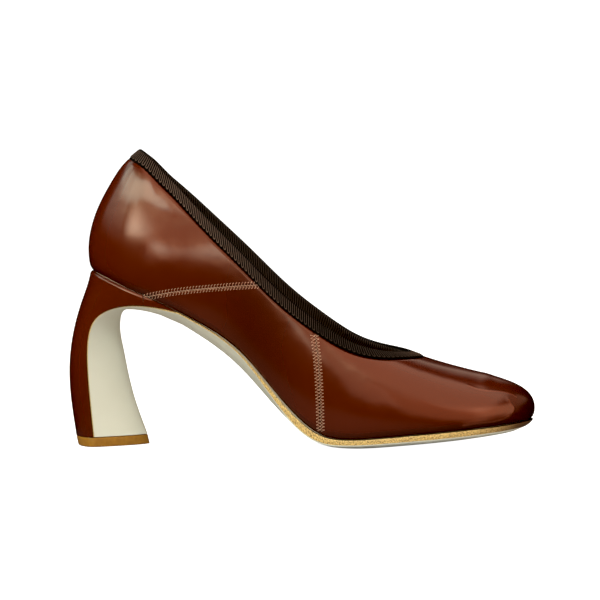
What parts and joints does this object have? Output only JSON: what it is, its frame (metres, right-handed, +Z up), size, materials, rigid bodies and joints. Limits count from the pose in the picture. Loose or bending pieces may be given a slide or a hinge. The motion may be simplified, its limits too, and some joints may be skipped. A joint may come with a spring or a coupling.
{
  "type": "closed-toe court pump",
  "caption": "High-heeled leather pump with a closed soft square toe, a ribbed ribbon round the open collar and a curved heel whose breast is faced by the sole.",
  "frame": {"origin": "on the floor, under the middle of the shoe's box", "axes": "+X from the heel to the toe, +Y to the inner side of the foot, +Z up"},
  "size_m": [0.2228, 0.077, 0.1411],
  "materials": {
    "upper_leather": "glossy brushed brown leather",
    "ribbon": "matt ribbed ribbon",
    "lining": "matt beige lining leather",
    "sole_leather": "cream finish with a natural cut edge",
    "heel_cover": "glossy brown leather cover",
    "top_piece": "satin tan"
  },
  "bodies": {
    "root": {"upper": "upper_leather", "collar_binding": "ribbon", "insole": "lining", "outsole": "sole_leather", "heel": "heel_cover", "top_piece": "top_piece"}
  },
  "joints": []
}
